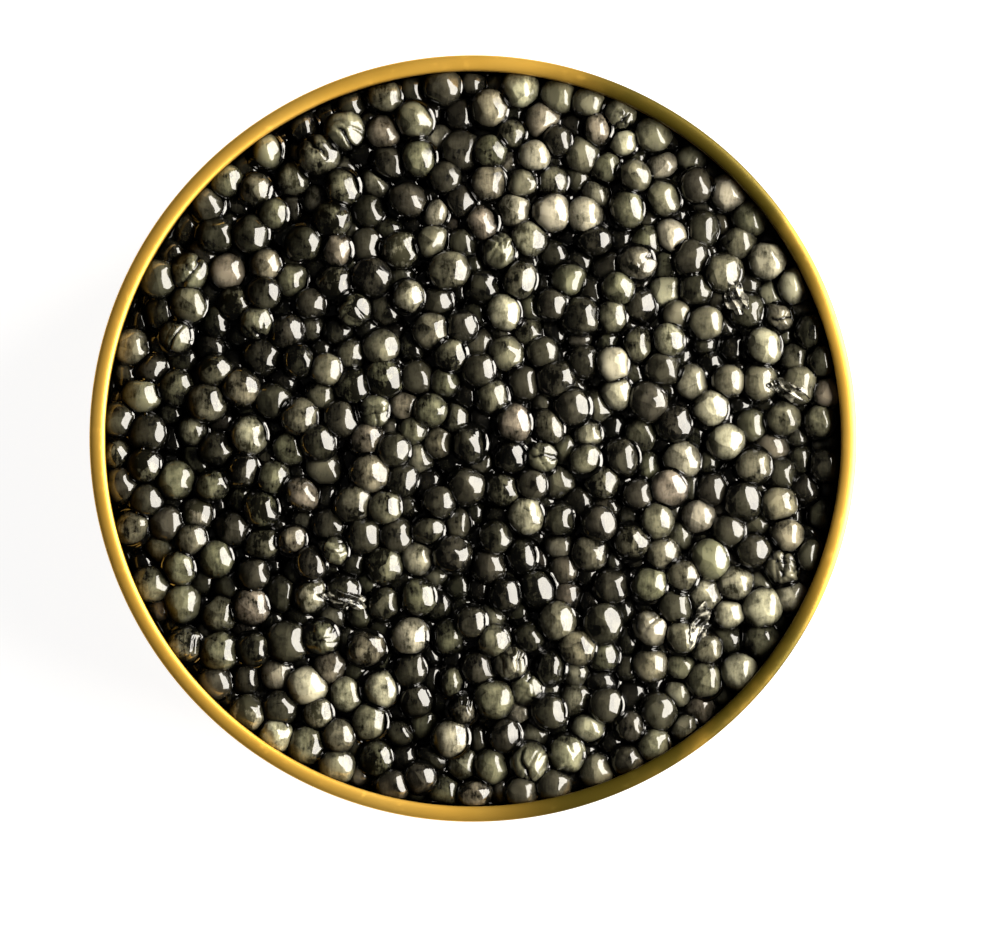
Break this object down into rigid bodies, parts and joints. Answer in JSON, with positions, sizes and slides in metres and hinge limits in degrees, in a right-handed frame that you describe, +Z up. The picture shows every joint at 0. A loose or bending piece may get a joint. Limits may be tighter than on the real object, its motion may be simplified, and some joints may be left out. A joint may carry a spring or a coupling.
{
  "type": "open tin of sturgeon caviar",
  "caption": "Round gold tin with a curled rim, open and filled to the brim with dark grey sturgeon caviar; a prepared food to set on a table.",
  "frame": {"origin": "centre of the tin's base, on the surface that it stands on", "axes": "+Z up along the tin's axis; the tin is round, so X and Y are any two horizontal directions"},
  "size_m": [0.068, 0.068, 0.0197],
  "materials": {
    "gold_lacquer": "clear gold lacquer over bright tinplate, smooth and glossy",
    "caviar": "wet translucent eggs, olive grey to charcoal and pale grey, very glossy"
  },
  "bodies": {
    "root": {"tin": "gold_lacquer", "caviar": "caviar"}
  },
  "joints": []
}
